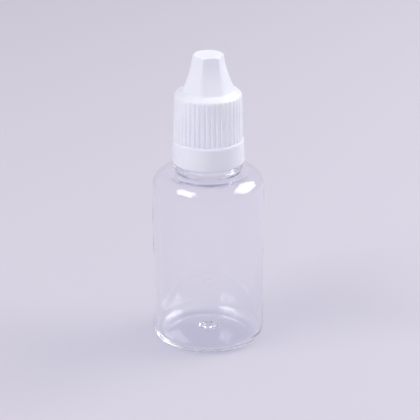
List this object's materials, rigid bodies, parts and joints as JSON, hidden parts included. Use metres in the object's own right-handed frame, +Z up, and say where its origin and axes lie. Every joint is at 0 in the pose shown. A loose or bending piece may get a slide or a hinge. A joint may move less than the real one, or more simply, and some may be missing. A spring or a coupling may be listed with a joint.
{
  "type": "eye drop bottle",
  "caption": "Clear round dropper bottle with a pressed-in dropper nozzle and a white ribbed screw cap over a tamper-evident ring.",
  "frame": {"origin": "centre of the ring that the bottle stands on", "axes": "+Z up along the bottle's axis, towards the nozzle and cap; -Y is the side that faced the camera"},
  "size_m": [0.032, 0.032, 0.0861],
  "materials": {
    "bottle": "clear gloss",
    "dropper_insert": "natural, slightly translucent",
    "tamper_ring": "satin",
    "cap": "satin",
    "bridges": "satin"
  },
  "bodies": {
    "bottle": {"bottle": "bottle", "dropper_insert": "dropper_insert"},
    "tamper_ring": {"tamper_ring": "tamper_ring"},
    "break_bridges": {"bridge_1": "bridges", "bridge_2": "bridges", "bridge_3": "bridges", "bridge_4": "bridges", "bridge_5": "bridges", "bridge_6": "bridges", "bridge_7": "bridges", "bridge_8": "bridges"},
    "cap": {"cap": "cap"}
  },
  "joints": [
    {"name": "cap_turn", "type": "hinge", "parent": "bottle", "child": "tamper_ring", "pos_m": [0, 0, 0.0616], "axis": [0, 0, -1], "range_deg": [-450, 0]},
    {"name": "cap_lift", "type": "slide", "parent": "tamper_ring", "child": "break_bridges", "axis": [0, 0, 1], "range_m": [0, 0.04]},
    {"name": "cap_rise", "type": "slide", "parent": "break_bridges", "child": "cap", "axis": [0, 0, 1], "range_m": [0, 0.00376]}
  ],
  "couplings": [
    {"joint": "cap_rise", "follows": "cap_turn", "m_per_rad": -0.00047746}
  ]
}
